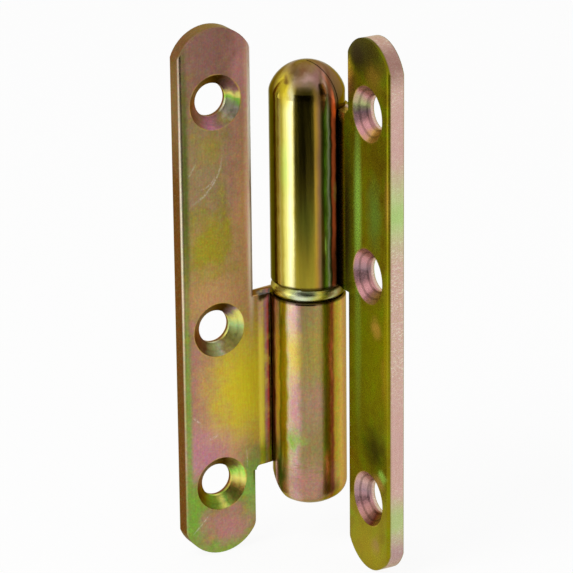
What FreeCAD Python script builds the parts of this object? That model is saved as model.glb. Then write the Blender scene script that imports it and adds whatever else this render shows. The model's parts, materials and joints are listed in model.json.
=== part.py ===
import FreeCAD, Part
import math
import os
import Sketcher

from FreeCAD import Vector

# Lift-off hinge of pressed steel, opened square. Two leaves of the same stamping stand the two ways up:
# each is a plate with rounded ends whose neck is rolled into a knuckle with a domed end. The pin stays in
# the lower knuckle, a loose ring sits on it, and the upper leaf lifts off. Z runs up along the pin, and the
# origin is the middle of the lower leaf's back face, which faces +Y.

doc = FreeCAD.newDocument("lift_off_hinge")
sheet = doc.addObject("Spreadsheet::Sheet", "Sizes")

SIZES = [
    ("leaf_height", 110.0),
    ("leaf_width", 15.8),
    ("plate_thickness", 3.5),
    # the end arcs are a little wider than the leaf, so they meet its edges at a corner
    ("end_excess", 0.55),
    ("edge_round", 0.8),
    # plan of the roll, measured from the pin axis
    ("axis_to_leaf", 10.8),
    ("axis_to_face", 2.7),
    ("bore_radius", 4.0),
    ("bend_inset", 0.95),
    ("bend_radius", 2.4),
    ("seam_gap", 0.25),
    ("seam_round", 0.6),
    # heights along the pin
    ("ring_thickness", 2.8),
    ("neck_height", 36.4),
    ("neck_fillet", 0.9),
    ("knuckle_height", 45.0),
    ("mouth_round", 0.5),
    ("lower_dome", 4.8),
    ("upper_dome", 6.2),
    ("dome_shoulder", 3.4),
    ("flank_drop", 6.9),
    ("flank_radius", 8.4),
    ("seam_depth", 0.45),
    # countersunk screw holes, the middle one nearer the leaf's own knuckle
    ("hole_diameter", 6.8),
    ("sink_diameter", 11.2),
    ("sink_angle", 90.0),
    ("long_pitch", 47.0),
    ("short_pitch", 33.0),
    # pin and ring
    ("pin_clearance", 0.05),
    ("pin_reach", 34.0),
    ("pin_grip", 35.0),
    ("pin_chamfer", 1.0),
    ("ring_clearance", 0.15),
    ("ring_bulge", 0.7),
    ("opening_angle", 90.0),
]

for row, (alias, value) in enumerate(SIZES, start=1):
    sheet.set("A%d" % row, alias)
    sheet.set("B%d" % row, str(value))
    sheet.setAlias("B%d" % row, alias)
doc.recompute()

# how far a sketch reaches past the metal that it joins or cuts
OVERLAP = 1.2


def size(alias):
    return float(sheet.get(alias))


def roll_plan():
    """Angles of the rolled section: the slope of the neck behind the bend and the free end of the roll."""
    bore = size("bore_radius")
    plate = size("plate_thickness")
    outer = bore + plate
    start = size("axis_to_leaf") - size("bend_inset")
    rise = size("axis_to_face") + plate + size("bend_radius")
    front = size("bend_radius") + plate
    slope = math.atan2(start, rise) - math.acos((bore + front) / math.hypot(start, rise))
    rounding = size("seam_round")
    corner = math.asin((bore - size("seam_gap") - rounding) / (outer - rounding)) - slope
    end = corner + math.asin(rounding / (outer - rounding))
    return slope, corner, end


def origin_plane(body, role):
    return [f for f in body.Origin.OriginFeatures if f.Role == role][0]


def new_sketch(body, name, role, turn=0.0):
    """A sketch on an origin plane of its body, turned about the pin axis where it stands upright."""
    sketch = body.newObject("Sketcher::SketchObject", name)
    sketch.AttachmentSupport = [(origin_plane(body, role), "")]
    sketch.MapMode = "FlatFace"
    if turn:
        sketch.AttachmentOffset = FreeCAD.Placement(Vector(), FreeCAD.Rotation(Vector(0, 1, 0), math.degrees(turn)))
    return sketch


def line(sketch, start, end):
    return sketch.addGeometry(Part.LineSegment(Vector(*start, 0), Vector(*end, 0)), False)


def arc(sketch, centre, radius, start, end):
    circle = Part.Circle(Vector(*centre, 0), Vector(0, 0, 1), radius)
    return sketch.addGeometry(Part.ArcOfCircle(circle, start, end), False)


def rule(sketch, kind, *args):
    return sketch.addConstraint(Sketcher.Constraint(kind, *args))


def driven(sketch, name, expression, kind, *args):
    """A dimension of a sketch, tied to the sheet."""
    index = rule(sketch, kind, *args)
    sketch.renameConstraint(index, name)
    sketch.setExpression("Constraints." + name, expression)


def polar(radius, angle):
    return (radius * math.cos(angle), radius * math.sin(angle))


def chain(sketch, pieces):
    """Joins the end of each piece to the start of the next."""
    for first, second in zip(pieces, pieces[1:] + pieces[:1]):
        rule(sketch, "Coincident", first, 2, second, 1)


def strip(body):
    """Rolled strip of the leaf, its inner face's long edges rounded."""
    inner = size("axis_to_leaf")
    outer = inner + size("leaf_width")
    face = size("axis_to_face")
    back = face + size("plate_thickness")
    rounding = size("edge_round")
    sketch = new_sketch(body, "StripSection", "XY_Plane")
    front_edge = line(sketch, (-outer + rounding, face), (-inner - rounding, face))
    near_round = arc(sketch, (-inner - rounding, face + rounding), rounding, -math.pi / 2, 0)
    near_side = line(sketch, (-inner, face + rounding), (-inner, back))
    back_edge = line(sketch, (-inner, back), (-outer, back))
    far_side = line(sketch, (-outer, back), (-outer, face + rounding))
    far_round = arc(sketch, (-outer + rounding, face + rounding), rounding, math.pi, 1.5 * math.pi)
    rule(sketch, "Tangent", front_edge, 2, near_round, 1)
    rule(sketch, "Tangent", near_round, 2, near_side, 1)
    rule(sketch, "Coincident", near_side, 2, back_edge, 1)
    rule(sketch, "Coincident", back_edge, 2, far_side, 1)
    rule(sketch, "Tangent", far_side, 2, far_round, 1)
    rule(sketch, "Tangent", far_round, 2, front_edge, 1)
    rule(sketch, "Horizontal", front_edge)
    rule(sketch, "Horizontal", back_edge)
    rule(sketch, "Vertical", near_side)
    rule(sketch, "Vertical", far_side)
    driven(sketch, "near_rounding", "Sizes.edge_round", "Radius", near_round, rounding)
    driven(sketch, "far_rounding", "Sizes.edge_round", "Radius", far_round, rounding)
    driven(sketch, "face", "Sizes.axis_to_face", "DistanceY", -1, 1, front_edge, 1, face)
    driven(sketch, "back", "Sizes.axis_to_face + Sizes.plate_thickness", "DistanceY", -1, 1, back_edge, 1, back)
    driven(sketch, "near", "Sizes.axis_to_leaf", "DistanceX", near_side, 2, -1, 1, inner)
    driven(sketch, "far", "Sizes.axis_to_leaf + Sizes.leaf_width", "DistanceX", far_side, 1, -1, 1, outer)
    pad = body.newObject("PartDesign::Pad", "Strip")
    pad.Profile = sketch
    pad.Midplane = True
    pad.setExpression("Length", "Sizes.leaf_height")
    doc.recompute()


def end_crop(body):
    """Crops both ends of the strip to an arc."""
    half = size("leaf_width") / 2
    radius = half + size("end_excess")
    middle = -size("axis_to_leaf") - half
    top = size("leaf_height") / 2
    sketch = new_sketch(body, "EndCrop", "XZ_Plane")
    for name, way in (("top", 1), ("bottom", -1)):
        level = way * (top - radius)
        clear = way * (top + OVERLAP)
        if way > 0:
            crown = arc(sketch, (middle, level), radius, 0, math.pi)
            corners = [(middle - radius, level), (middle - radius, clear), (middle + radius, clear),
                       (middle + radius, level)]
        else:
            crown = arc(sketch, (middle, level), radius, math.pi, 2 * math.pi)
            corners = [(middle + radius, level), (middle + radius, clear), (middle - radius, clear),
                       (middle - radius, level)]
        first = line(sketch, corners[0], corners[1])
        across = line(sketch, corners[1], corners[2])
        last = line(sketch, corners[2], corners[3])
        chain(sketch, [crown, first, across, last])
        rule(sketch, "Vertical", first)
        rule(sketch, "Vertical", last)
        rule(sketch, "Horizontal", across)
        rule(sketch, "Horizontal", crown, 1, crown, 3)
        rule(sketch, "Horizontal", crown, 2, crown, 3)
        driven(sketch, name + "_radius", "Sizes.leaf_width / 2 + Sizes.end_excess", "Radius", crown, radius)
        driven(sketch, name + "_middle", "Sizes.axis_to_leaf + Sizes.leaf_width / 2",
               "DistanceX", crown, 3, -1, 1, -middle)
        reach = "Sizes.leaf_height / 2 - Sizes.leaf_width / 2 - Sizes.end_excess"
        ends = (-1, 1, crown, 3) if way > 0 else (crown, 3, -1, 1)
        driven(sketch, name + "_level", reach, "DistanceY", *ends, abs(level))
        rule(sketch, "DistanceY", *((first, 1, first, 2) if way > 0 else (first, 2, first, 1)), radius + OVERLAP)
    pocket = body.newObject("PartDesign::Pocket", "EndArcs")
    pocket.Profile = sketch
    pocket.Midplane = True
    pocket.Type = "ThroughAll"
    doc.recompute()


def roll(body):
    """Neck and knuckle: the plate bends back behind the pin, then rolls round it until its end meets the neck."""
    slope, corner, end = roll_plan()
    bore = size("bore_radius")
    plate = size("plate_thickness")
    outer = bore + plate
    face = size("axis_to_face")
    root = size("axis_to_leaf") + OVERLAP
    start = size("axis_to_leaf") - size("bend_inset")
    inside = size("bend_radius")
    rounding = size("seam_round")
    bend = (-start, face + plate + inside)
    tip = (-(outer - rounding) * math.cos(corner), (outer - rounding) * math.sin(corner))
    free = math.pi - end
    tangent = 2.5 * math.pi + slope
    turn = -math.pi / 2 + slope

    def off(radius):
        return (bend[0] + radius * math.sin(slope), bend[1] - radius * math.cos(slope))

    sketch = new_sketch(body, "RollSection", "XY_Plane")
    sketch.setExpression("AttachmentOffset.Base.z", "-Sizes.ring_thickness / 2")
    face_flat = line(sketch, (-root, face), (-start, face))
    face_bend = arc(sketch, bend, inside + plate, -math.pi / 2, turn)
    face_slope = line(sketch, off(inside + plate), (-bore * math.sin(slope), bore * math.cos(slope)))
    bore_arc = arc(sketch, (0, 0), bore, free, tangent)
    reach = math.sqrt((outer - rounding) ** 2 - rounding ** 2)
    end_face = line(sketch, polar(bore, free), polar(reach, free))
    end_round = arc(sketch, tip, rounding, math.pi / 2 - end, math.pi - corner)
    outer_arc = arc(sketch, (0, 0), outer, math.pi - corner, tangent)
    back_slope = line(sketch, (-outer * math.sin(slope), outer * math.cos(slope)), off(inside))
    back_bend = arc(sketch, bend, inside, -math.pi / 2, turn)
    back_flat = line(sketch, (-start, face + plate), (-root, face + plate))
    closing = line(sketch, (-root, face + plate), (-root, face))
    rule(sketch, "Tangent", face_flat, 2, face_bend, 1)
    rule(sketch, "Tangent", face_bend, 2, face_slope, 1)
    rule(sketch, "Tangent", face_slope, 2, bore_arc, 2)
    rule(sketch, "Coincident", bore_arc, 1, end_face, 1)
    rule(sketch, "Tangent", end_face, 2, end_round, 1)
    rule(sketch, "Tangent", end_round, 2, outer_arc, 1)
    rule(sketch, "Tangent", outer_arc, 2, back_slope, 1)
    rule(sketch, "Tangent", back_slope, 2, back_bend, 2)
    rule(sketch, "Tangent", back_bend, 1, back_flat, 1)
    rule(sketch, "Coincident", back_flat, 2, closing, 1)
    rule(sketch, "Coincident", closing, 2, face_flat, 1)
    rule(sketch, "Coincident", bore_arc, 3, -1, 1)
    rule(sketch, "Coincident", outer_arc, 3, -1, 1)
    rule(sketch, "Coincident", back_bend, 3, face_bend, 3)
    rule(sketch, "Horizontal", face_flat)
    rule(sketch, "Horizontal", back_flat)
    rule(sketch, "Vertical", closing)
    rule(sketch, "PointOnObject", -1, 1, end_face)
    driven(sketch, "bore", "Sizes.bore_radius", "Radius", bore_arc, bore)
    driven(sketch, "outside", "Sizes.bore_radius + Sizes.plate_thickness", "Radius", outer_arc, outer)
    driven(sketch, "back_bending", "Sizes.bend_radius", "Radius", back_bend, inside)
    driven(sketch, "face_bending", "Sizes.bend_radius + Sizes.plate_thickness", "Radius", face_bend, inside + plate)
    driven(sketch, "end_rounding", "Sizes.seam_round", "Radius", end_round, rounding)
    driven(sketch, "flat", "Sizes.axis_to_face", "DistanceY", -1, 1, face_flat, 1, face)
    driven(sketch, "root", "Sizes.axis_to_leaf + %s" % OVERLAP, "DistanceX", closing, 1, -1, 1, root)
    driven(sketch, "bend_start", "Sizes.axis_to_leaf - Sizes.bend_inset", "DistanceX", face_bend, 3, -1, 1, start)
    driven(sketch, "seam", "Sizes.seam_gap + Sizes.seam_round", "Distance", end_round, 3, face_slope,
           size("seam_gap") + rounding)
    pad = body.newObject("PartDesign::Pad", "Roll")
    pad.Profile = sketch
    pad.Reversed = True
    pad.setExpression("Length", "Sizes.neck_height")
    doc.recompute()


def neck_corner(body):
    """Rounded inside corner where the leaf's edge meets the outer end of the neck."""
    leaf = size("axis_to_leaf")
    level = size("ring_thickness") / 2 + size("neck_height")
    radius = size("neck_fillet")
    sketch = new_sketch(body, "NeckCorner", "XZ_Plane")
    sketch.setExpression("AttachmentOffset.Base.z", "-Sizes.axis_to_face")
    hollow = arc(sketch, (-leaf + radius, -level - radius), radius, math.pi / 2, math.pi)
    points = [(-leaf, -level - radius), (-leaf - OVERLAP, -level - radius), (-leaf - OVERLAP, -level + OVERLAP),
              (-leaf + radius, -level + OVERLAP), (-leaf + radius, -level)]
    sides = [line(sketch, a, b) for a, b in zip(points, points[1:])]
    chain(sketch, [hollow] + sides)
    for side in (sides[0], sides[2]):
        rule(sketch, "Horizontal", side)
    for side in (sides[1], sides[3]):
        rule(sketch, "Vertical", side)
    rule(sketch, "Vertical", hollow, 1, hollow, 3)
    rule(sketch, "Horizontal", hollow, 2, hollow, 3)
    driven(sketch, "hollow_radius", "Sizes.neck_fillet", "Radius", hollow, radius)
    driven(sketch, "corner_across", "Sizes.axis_to_leaf", "DistanceX", hollow, 2, -1, 1, leaf)
    driven(sketch, "corner_along", "Sizes.ring_thickness / 2 + Sizes.neck_height", "DistanceY", hollow, 1, -1, 1, level)
    rule(sketch, "DistanceX", sides[0], 2, sides[0], 1, OVERLAP)
    rule(sketch, "DistanceY", sides[3], 2, sides[3], 1, OVERLAP)
    pad = body.newObject("PartDesign::Pad", "NeckCornerPad")
    pad.Profile = sketch
    pad.Reversed = True
    pad.setExpression("Length", "Sizes.plate_thickness")
    doc.recompute()


def dome(body, dome_alias):
    """Closed end of the knuckle, swaged in from the roll: a shoulder and a flatter crown over the end of the bore."""
    bore = size("bore_radius")
    outer = bore + size("plate_thickness")
    level = size("ring_thickness") / 2 + size("neck_height")
    apex = size("ring_thickness") / 2 + size("knuckle_height")
    height = size(dome_alias)
    base = apex - height
    shoulder = size("dome_shoulder")
    crown = ((outer - shoulder) ** 2 + height ** 2 - shoulder ** 2) / (2 * (height - shoulder))
    centre = (0.0, -apex + crown)
    hub = (-outer + shoulder, -base)
    lean = math.atan2(hub[1] - centre[1], hub[0] - centre[0]) % (2 * math.pi)
    hollow = apex - size("plate_thickness")
    sketch = new_sketch(body, "DomeSection", "XZ_Plane")
    wall = line(sketch, (-outer, -level), (-outer, -base))
    shoulder_arc = arc(sketch, hub, shoulder, math.pi, lean)
    crown_arc = arc(sketch, centre, crown, lean, 1.5 * math.pi)
    axis = line(sketch, (0, -apex), (0, -hollow))
    cone = line(sketch, (0, -hollow), (-bore, -base))
    inside = line(sketch, (-bore, -base), (-bore, -level))
    rim = line(sketch, (-bore, -level), (-outer, -level))
    rule(sketch, "Tangent", wall, 2, shoulder_arc, 1)
    rule(sketch, "Tangent", shoulder_arc, 2, crown_arc, 1)
    for first, second in ((crown_arc, axis), (axis, cone), (cone, inside), (inside, rim), (rim, wall)):
        rule(sketch, "Coincident", first, 2, second, 1)
    rule(sketch, "Vertical", wall)
    rule(sketch, "Vertical", inside)
    rule(sketch, "Horizontal", rim)
    rule(sketch, "PointOnObject", axis, 1, -2)
    rule(sketch, "PointOnObject", axis, 2, -2)
    rule(sketch, "PointOnObject", crown_arc, 3, -2)
    rule(sketch, "Horizontal", cone, 2, shoulder_arc, 3)
    driven(sketch, "shoulder", "Sizes.dome_shoulder", "Radius", shoulder_arc, shoulder)
    driven(sketch, "outside", "Sizes.bore_radius + Sizes.plate_thickness", "DistanceX", rim, 2, -1, 1, outer)
    driven(sketch, "bore", "Sizes.bore_radius", "DistanceX", rim, 1, -1, 1, bore)
    driven(sketch, "level", "Sizes.ring_thickness / 2 + Sizes.neck_height", "DistanceY", rim, 1, -1, 1, level)
    driven(sketch, "apex", "Sizes.ring_thickness / 2 + Sizes.knuckle_height", "DistanceY", axis, 1, -1, 1, apex)
    driven(sketch, "height", "Sizes." + dome_alias, "DistanceY", axis, 1, cone, 2, height)
    driven(sketch, "end_wall", "Sizes.plate_thickness", "DistanceY", axis, 1, axis, 2, size("plate_thickness"))
    turned = body.newObject("PartDesign::Revolution", "Dome")
    turned.Profile = sketch
    turned.ReferenceAxis = (sketch, ["V_Axis"])
    turned.Angle = 360.0
    doc.recompute()


def flank_arc():
    """Centre and end angles of the arc in the seam's plane that the drawn-in flank of the dome follows."""
    outer = size("bore_radius") + size("plate_thickness")
    apex = size("ring_thickness") / 2 + size("knuckle_height")
    drop = size("flank_drop")
    radius = size("flank_radius")
    chord = math.hypot(outer, drop)
    inward = math.sqrt(radius ** 2 - chord ** 2 / 4)
    centre = (-outer / 2 + inward * drop / chord, -apex + drop / 2 + inward * outer / chord)
    first = math.atan2(-apex + drop - centre[1], -outer - centre[0]) % (2 * math.pi)
    last = math.atan2(-apex - centre[1], -centre[0]) % (2 * math.pi)
    return centre, first, last


def flank(body, turn):
    """The dome is drawn in further where the roll's end was closed down, along the seam."""
    outer = size("bore_radius") + size("plate_thickness")
    apex = size("ring_thickness") / 2 + size("knuckle_height")
    drop = size("flank_drop")
    centre, first, last = flank_arc()
    sketch = new_sketch(body, "FlankSection", "XZ_Plane", turn)
    edge = arc(sketch, centre, size("flank_radius"), first, last)
    points = [(0, -apex), (0, -apex - OVERLAP), (-outer - OVERLAP, -apex - OVERLAP), (-outer - OVERLAP, -apex + drop),
              (-outer, -apex + drop)]
    sides = [line(sketch, a, b) for a, b in zip(points, points[1:])]
    chain(sketch, [edge] + sides)
    rule(sketch, "Vertical", sides[0])
    rule(sketch, "Horizontal", sides[1])
    rule(sketch, "Vertical", sides[2])
    rule(sketch, "Horizontal", sides[3])
    rule(sketch, "PointOnObject", edge, 2, -2)
    rule(sketch, "DistanceY", sides[0], 2, sides[0], 1, OVERLAP)
    rule(sketch, "DistanceX", sides[3], 1, sides[3], 2, OVERLAP)
    driven(sketch, "apex", "Sizes.ring_thickness / 2 + Sizes.knuckle_height", "DistanceY", edge, 2, -1, 1, apex)
    driven(sketch, "drop", "Sizes.flank_drop", "DistanceY", edge, 2, edge, 1, drop)
    driven(sketch, "outside", "Sizes.bore_radius + Sizes.plate_thickness", "DistanceX", edge, 1, -1, 1, outer)
    driven(sketch, "curve", "Sizes.flank_radius", "Radius", edge, size("flank_radius"))
    pocket = body.newObject("PartDesign::Pocket", "Flank")
    pocket.Profile = sketch
    pocket.Midplane = True
    pocket.Type = "ThroughAll"
    doc.recompute()


def seam(body, turn):
    """Closed seam of the roll, a shallow slit that runs on from the neck up over the dome."""
    outer = size("bore_radius") + size("plate_thickness")
    apex = size("ring_thickness") / 2 + size("knuckle_height")
    level = size("ring_thickness") / 2 + size("neck_height")
    depth = size("seam_depth")
    radius = size("flank_radius") - depth
    centre, first, last = flank_arc()
    low = math.pi + math.acos(min(1.0, (outer - depth + centre[0]) / radius))
    foot = (centre[0] + radius * math.cos(low), centre[1] + radius * math.sin(low))
    head = (centre[0] + radius * math.cos(last), centre[1] + radius * math.sin(last))
    sketch = new_sketch(body, "SeamSection", "XZ_Plane", turn)
    bed = arc(sketch, centre, radius, low, last)
    points = [head, (head[0], -apex - OVERLAP), (-outer - OVERLAP, -apex - OVERLAP), (-outer - OVERLAP, -level),
              (foot[0], -level), foot]
    for first_point, second_point in zip(points, points[1:]):
        line(sketch, first_point, second_point)
    pieces = list(range(6))
    chain(sketch, pieces)
    for piece in (1, 3, 5):
        rule(sketch, "Vertical", piece)
    for piece in (2, 4):
        rule(sketch, "Horizontal", piece)
    rule(sketch, "Block", bed)
    driven(sketch, "level", "Sizes.ring_thickness / 2 + Sizes.neck_height", "DistanceY", 4, 1, -1, 1, level)
    driven(sketch, "reach", "Sizes.bore_radius + Sizes.plate_thickness + %s" % OVERLAP,
           "DistanceX", 3, 1, -1, 1, outer + OVERLAP)
    driven(sketch, "below", "Sizes.ring_thickness / 2 + Sizes.knuckle_height + %s" % OVERLAP,
           "DistanceY", 2, 1, -1, 1, apex + OVERLAP)
    pocket = body.newObject("PartDesign::Pocket", "Seam")
    pocket.Profile = sketch
    pocket.Midplane = True
    pocket.setExpression("Length", "Sizes.seam_gap")
    doc.recompute()


def mouth(body, turn):
    """Rounds the outer edge of the knuckle's mouth, away from the neck."""
    outer = size("bore_radius") + size("plate_thickness")
    top = size("ring_thickness") / 2
    radius = size("mouth_round")
    sketch = new_sketch(body, "MouthSection", "XZ_Plane", turn)
    curve = arc(sketch, (outer - radius, -top - radius), radius, 0, math.pi / 2)
    points = [(outer - radius, -top), (outer - radius, -top + OVERLAP), (outer + OVERLAP, -top + OVERLAP),
              (outer + OVERLAP, -top - radius), (outer, -top - radius)]
    sides = [line(sketch, a, b) for a, b in zip(points, points[1:])]
    chain(sketch, [curve] + sides)
    for side in (sides[0], sides[2]):
        rule(sketch, "Vertical", side)
    for side in (sides[1], sides[3]):
        rule(sketch, "Horizontal", side)
    rule(sketch, "Horizontal", curve, 1, curve, 3)
    rule(sketch, "Vertical", curve, 2, curve, 3)
    driven(sketch, "rounding", "Sizes.mouth_round", "Radius", curve, radius)
    driven(sketch, "outside", "Sizes.bore_radius + Sizes.plate_thickness", "DistanceX", -1, 1, curve, 1, outer)
    driven(sketch, "level", "Sizes.ring_thickness / 2", "DistanceY", curve, 2, -1, 1, top)
    rule(sketch, "DistanceY", sides[0], 1, sides[0], 2, OVERLAP)
    rule(sketch, "DistanceX", sides[3], 2, sides[3], 1, OVERLAP)
    groove = body.newObject("PartDesign::Groove", "MouthEdge")
    groove.Profile = sketch
    groove.ReferenceAxis = (sketch, ["V_Axis"])
    groove.Midplane = True
    groove.Angle = 230.0
    doc.recompute()


def screw_holes(body):
    """Three countersunk holes on the leaf's middle line, sunk from the inner face."""
    row = size("axis_to_leaf") + size("leaf_width") / 2
    half = (size("long_pitch") + size("short_pitch")) / 2
    sketch = new_sketch(body, "HoleCentres", "XZ_Plane")
    sketch.setExpression("AttachmentOffset.Base.z", "-Sizes.axis_to_face")
    spots = (("far", half, "(Sizes.long_pitch + Sizes.short_pitch) / 2"),
             ("middle", half - size("long_pitch"), "(Sizes.short_pitch - Sizes.long_pitch) / 2"),
             ("near", -half, "-(Sizes.long_pitch + Sizes.short_pitch) / 2"))
    for name, height, expression in spots:
        radius = size("hole_diameter") / 2
        hole = sketch.addGeometry(Part.Circle(Vector(-row, height, 0), Vector(0, 0, 1), radius), False)
        driven(sketch, name + "_bore", "Sizes.hole_diameter / 2", "Radius", hole, radius)
        driven(sketch, name + "_row", "Sizes.axis_to_leaf + Sizes.leaf_width / 2", "DistanceX", hole, 3, -1, 1, row)
        driven(sketch, name + "_height", expression, "DistanceY", -1, 1, hole, 3, height)
    doc.recompute()
    holes = body.newObject("PartDesign::Hole", "ScrewHoles")
    holes.Profile = sketch
    holes.Threaded = False
    holes.DepthType = "ThroughAll"
    holes.HoleCutType = "Countersink"
    holes.HoleCutCustomValues = True
    holes.setExpression("Diameter", "Sizes.hole_diameter")
    holes.setExpression("HoleCutDiameter", "Sizes.sink_diameter")
    holes.setExpression("HoleCutCountersinkAngle", "Sizes.sink_angle")
    doc.recompute()


def leaf(label, dome_alias):
    """One leaf, modelled about its knuckle's axis with the knuckle below and the inner face towards -Y."""
    end = roll_plan()[2]
    body = doc.addObject("PartDesign::Body", label)
    body.Label = label
    strip(body)
    end_crop(body)
    roll(body)
    neck_corner(body)
    dome(body, dome_alias)
    flank(body, -end)
    seam(body, -end)
    mouth(body, -end)
    screw_holes(body)
    return body


def hinge_pin():
    """Pin, gripped by the lower knuckle and running free in the upper one."""
    grip = size("bore_radius")
    running = grip - size("pin_clearance")
    step = size("ring_thickness") / 2
    bottom = step + size("pin_grip")
    top = step + size("pin_reach")
    chamfer = size("pin_chamfer")
    body = doc.addObject("PartDesign::Body", "hinge_pin")
    body.Label = "hinge_pin"
    sketch = new_sketch(body, "PinSection", "XZ_Plane")
    points = [(0, -bottom), (grip - chamfer, -bottom), (grip, -bottom + chamfer), (grip, -step), (running, -step),
              (running, top - chamfer), (running - chamfer, top), (0, top)]
    sides = [line(sketch, a, b) for a, b in zip(points, points[1:] + points[:1])]
    chain(sketch, sides)
    for side in (sides[0], sides[3], sides[6]):
        rule(sketch, "Horizontal", side)
    for side in (sides[2], sides[4], sides[7]):
        rule(sketch, "Vertical", side)
    rule(sketch, "PointOnObject", sides[0], 1, -2)
    driven(sketch, "bottom", "Sizes.ring_thickness / 2 + Sizes.pin_grip", "DistanceY", sides[0], 1, -1, 1, bottom)
    driven(sketch, "top", "Sizes.ring_thickness / 2 + Sizes.pin_reach", "DistanceY", -1, 1, sides[7], 1, top)
    driven(sketch, "step", "Sizes.ring_thickness / 2", "DistanceY", sides[3], 1, -1, 1, step)
    driven(sketch, "grip", "Sizes.bore_radius", "DistanceX", -1, 1, sides[2], 1, grip)
    driven(sketch, "running", "Sizes.bore_radius - Sizes.pin_clearance", "DistanceX", -1, 1, sides[4], 1, running)
    for name, ends, kind in (("low_in", (sides[1], 1, sides[1], 2), "DistanceX"),
                             ("low_up", (sides[1], 1, sides[1], 2), "DistanceY"),
                             ("top_in", (sides[5], 2, sides[5], 1), "DistanceX"),
                             ("top_up", (sides[5], 1, sides[5], 2), "DistanceY")):
        driven(sketch, name, "Sizes.pin_chamfer", kind, *ends, chamfer)
    turned = body.newObject("PartDesign::Revolution", "Pin")
    turned.Profile = sketch
    turned.ReferenceAxis = (sketch, ["V_Axis"])
    turned.Angle = 360.0
    doc.recompute()
    return body


def spacer_ring():
    """Ring between the knuckles, its rim rounded."""
    inner = size("bore_radius") - size("pin_clearance") + size("ring_clearance")
    half = size("ring_thickness") / 2
    bulge = size("ring_bulge")
    edge = size("bore_radius") + size("plate_thickness") - bulge
    radius = (half ** 2 + bulge ** 2) / (2 * bulge)
    lean = math.asin(half / radius)
    body = doc.addObject("PartDesign::Body", "ring")
    body.Label = "ring"
    sketch = new_sketch(body, "RingSection", "XZ_Plane")
    low = line(sketch, (inner, -half), (edge, -half))
    rim = arc(sketch, (edge + bulge - radius, 0), radius, -lean, lean)
    top = line(sketch, (edge, half), (inner, half))
    hole = line(sketch, (inner, half), (inner, -half))
    chain(sketch, [low, rim, top, hole])
    rule(sketch, "Horizontal", low)
    rule(sketch, "Horizontal", top)
    rule(sketch, "Vertical", hole)
    rule(sketch, "PointOnObject", rim, 3, -1)
    driven(sketch, "rounding", "(Sizes.ring_thickness ^ 2 / 4 + Sizes.ring_bulge ^ 2) / (2 * Sizes.ring_bulge)",
           "Radius", rim, radius)
    driven(sketch, "edge", "Sizes.bore_radius + Sizes.plate_thickness - Sizes.ring_bulge",
           "DistanceX", -1, 1, rim, 1, edge)
    driven(sketch, "inside", "Sizes.bore_radius - Sizes.pin_clearance + Sizes.ring_clearance",
           "DistanceX", -1, 1, hole, 1, inner)
    driven(sketch, "upper", "Sizes.ring_thickness / 2", "DistanceY", -1, 1, hole, 1, half)
    driven(sketch, "lower", "Sizes.ring_thickness / 2", "DistanceY", hole, 2, -1, 1, half)
    turned = body.newObject("PartDesign::Revolution", "Ring")
    turned.Profile = sketch
    turned.ReferenceAxis = (sketch, ["V_Axis"])
    turned.Angle = 360.0
    doc.recompute()
    return body


lower_leaf = leaf("lower_leaf", "lower_dome")
upper_leaf = leaf("upper_leaf", "upper_dome")
pin = hinge_pin()
ring = spacer_ring()

# the upper leaf is the same stamping turned end for end, then swung to the opening angle
upside_down = FreeCAD.Rotation(Vector(0, 1, 0), 180.0)
swung = FreeCAD.Rotation(Vector(0, 0, 1), size("opening_angle") - 180.0)
upper_leaf.Placement = FreeCAD.Placement(Vector(), swung.multiply(upside_down))
pieces = [lower_leaf, upper_leaf, pin, ring]
for piece in pieces:
    piece.setExpression("Placement.Base.x", "Sizes.axis_to_leaf + Sizes.leaf_width / 2")
    piece.setExpression("Placement.Base.y", "-(Sizes.axis_to_face + Sizes.plate_thickness)")
doc.recompute()

for item in doc.Objects:
    if "Invalid" in item.State or "Error" in item.State:
        raise RuntimeError("%s failed: %s" % (item.Name, item.State))
for piece in pieces:
    if piece.Shape.isNull() or not piece.Shape.isValid() or len(piece.Shape.Solids) != 1:
        raise RuntimeError("%s is not one valid solid" % piece.Label)

os.makedirs("parts", exist_ok=True)
for piece in pieces:
    piece.Shape.exportStep("parts/%s.step" % piece.Label)
    box = piece.Shape.optimalBoundingBox(False)
    print(piece.Label, "volume %.1f" % piece.Shape.Volume, "x %.2f %.2f" % (box.XMin, box.XMax),
          "y %.2f %.2f" % (box.YMin, box.YMax), "z %.2f %.2f" % (box.ZMin, box.ZMax))
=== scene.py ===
import json
import math

import bpy
from mathutils import Matrix, Vector


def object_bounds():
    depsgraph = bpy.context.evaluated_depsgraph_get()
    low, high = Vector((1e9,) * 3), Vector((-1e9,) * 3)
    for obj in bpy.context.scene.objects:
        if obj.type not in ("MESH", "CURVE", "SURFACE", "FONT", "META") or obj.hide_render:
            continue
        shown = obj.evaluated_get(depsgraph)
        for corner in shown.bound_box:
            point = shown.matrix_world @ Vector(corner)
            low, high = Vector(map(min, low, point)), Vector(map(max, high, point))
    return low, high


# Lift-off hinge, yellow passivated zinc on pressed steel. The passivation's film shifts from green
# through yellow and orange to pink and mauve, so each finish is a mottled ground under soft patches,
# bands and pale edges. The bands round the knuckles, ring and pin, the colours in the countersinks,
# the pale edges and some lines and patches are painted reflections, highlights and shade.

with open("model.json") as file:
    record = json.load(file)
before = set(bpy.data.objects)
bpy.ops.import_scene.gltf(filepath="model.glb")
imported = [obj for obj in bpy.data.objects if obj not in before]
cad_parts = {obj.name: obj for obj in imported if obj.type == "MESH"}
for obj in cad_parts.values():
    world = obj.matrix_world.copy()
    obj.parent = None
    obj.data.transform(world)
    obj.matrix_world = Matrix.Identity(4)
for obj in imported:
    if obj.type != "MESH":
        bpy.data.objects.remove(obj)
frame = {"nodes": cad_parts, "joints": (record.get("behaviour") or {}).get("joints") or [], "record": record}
cad_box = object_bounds()

MM = 0.001
nodes = frame["nodes"]
mounts = {mount["name"]: mount for mount in frame["record"]["mounts"]}
pin_axis = Vector(frame["joints"][0]["pos_m"])

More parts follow.
